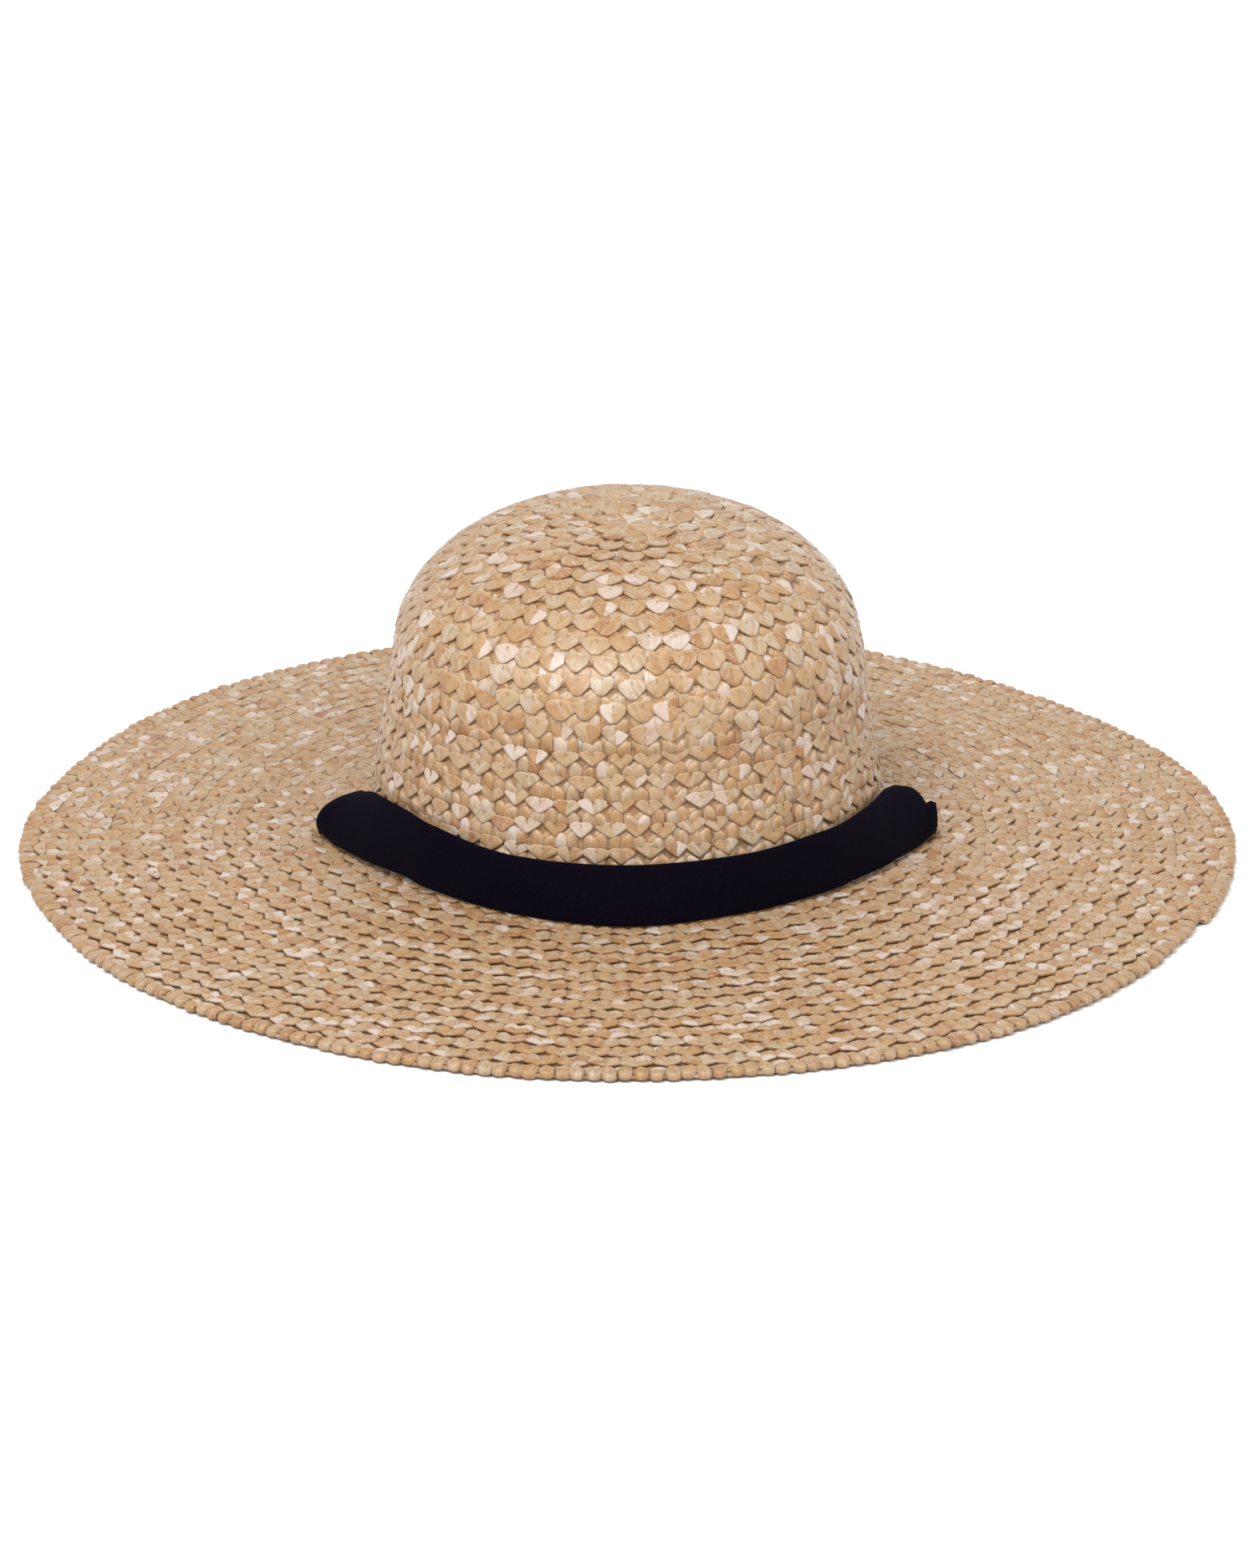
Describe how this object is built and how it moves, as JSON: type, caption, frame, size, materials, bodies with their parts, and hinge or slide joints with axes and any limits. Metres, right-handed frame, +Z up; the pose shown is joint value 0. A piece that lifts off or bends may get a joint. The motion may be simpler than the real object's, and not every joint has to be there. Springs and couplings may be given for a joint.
{
  "type": "straw sun hat",
  "caption": "Wide-brimmed sun hat of straw plait sewn in a spiral, with a domed crown and a black velvet ribbon across the front that passes down through slits in the brim.",
  "frame": {"origin": "middle of the hat on the surface that it stands on, under the centre of its bounding box", "axes": "+Z up through the crown, -Y to the hat's front, +X to the wearer's left"},
  "size_m": [0.436, 0.447, 0.1229],
  "materials": {
    "straw_plait": "satin natural wheat straw",
    "straw_thread": "matt cotton thread",
    "velvet": "black velvet pile",
    "velvet_thread": "black thread",
    "grosgrain": "ribbed beige ribbon"
  },
  "bodies": {
    "root": {"crown_button": "straw_plait", "crown_tip": "straw_plait", "crown_shoulder": "straw_plait", "crown_upper_side": "straw_plait", "crown_lower_side": "straw_plait", "crown_foot": "straw_plait", "brim_inner": "straw_plait", "brim_middle": "straw_plait", "brim_outer": "straw_plait", "brim_edge": "straw_plait", "plait_tail": "straw_plait", "crown_thread": "straw_thread", "brim_thread": "straw_thread", "slit_binding_left": "straw_thread", "slit_binding_right": "straw_thread", "sweatband_thread": "straw_thread", "ribbon_band": "velvet", "ribbon_end_left": "velvet", "ribbon_end_right": "velvet", "ribbon_tacks": "velvet_thread", "sweatband": "grosgrain", "sweatband_join": "grosgrain"}
  },
  "joints": []
}
